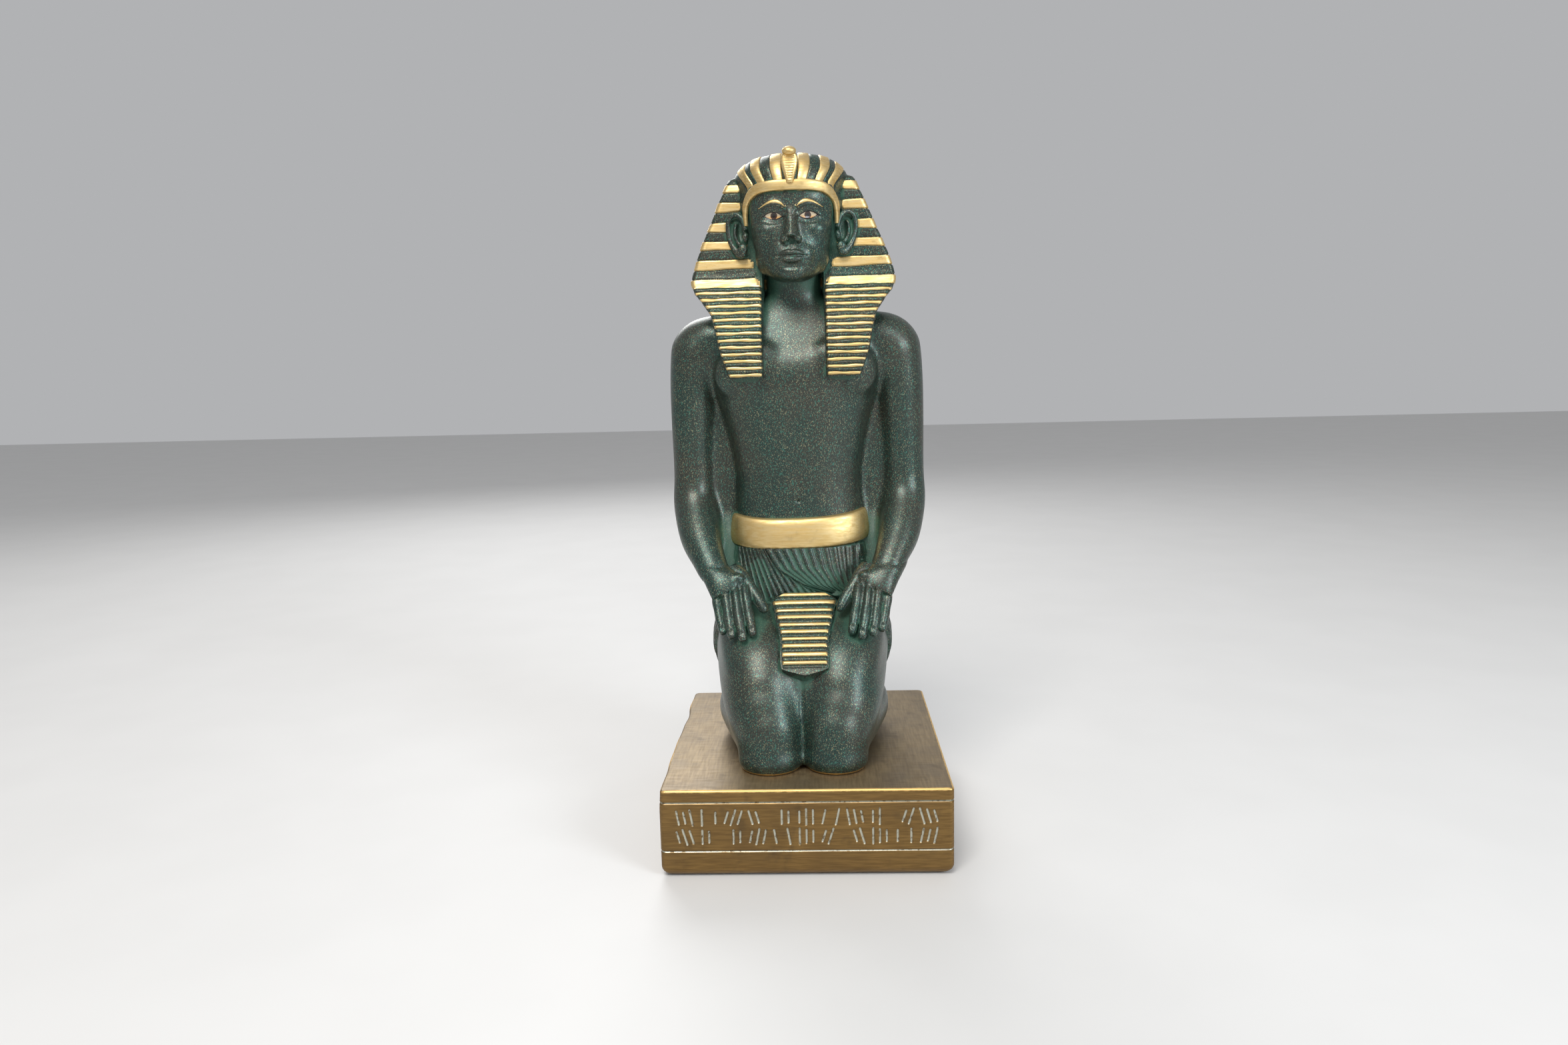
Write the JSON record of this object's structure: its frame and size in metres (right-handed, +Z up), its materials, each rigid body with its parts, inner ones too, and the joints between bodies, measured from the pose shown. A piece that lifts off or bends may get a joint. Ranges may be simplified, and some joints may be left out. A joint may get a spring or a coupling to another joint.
{
  "type": "kneeling king statuette",
  "caption": "Desk statuette of a kneeling king with striped head cloth, hands on the thighs, on an oblong plinth with rows of shallow strokes.",
  "frame": {"origin": "centre of the plinth's underside", "axes": "+Z up, the king faces -Y, +X to the viewer's right"},
  "size_m": [0.1121, 0.122, 0.2791],
  "materials": {
    "patinated_resin": "cast resin painted green-black with a metallic sheen, fine gold and verdigris specks, and gilded stripes and belt",
    "bronzed_resin": "cast resin painted in brushed antique bronze, brighter along the edges"
  },
  "bodies": {
    "root": {"figure": "patinated_resin", "plinth": "bronzed_resin"}
  },
  "joints": []
}
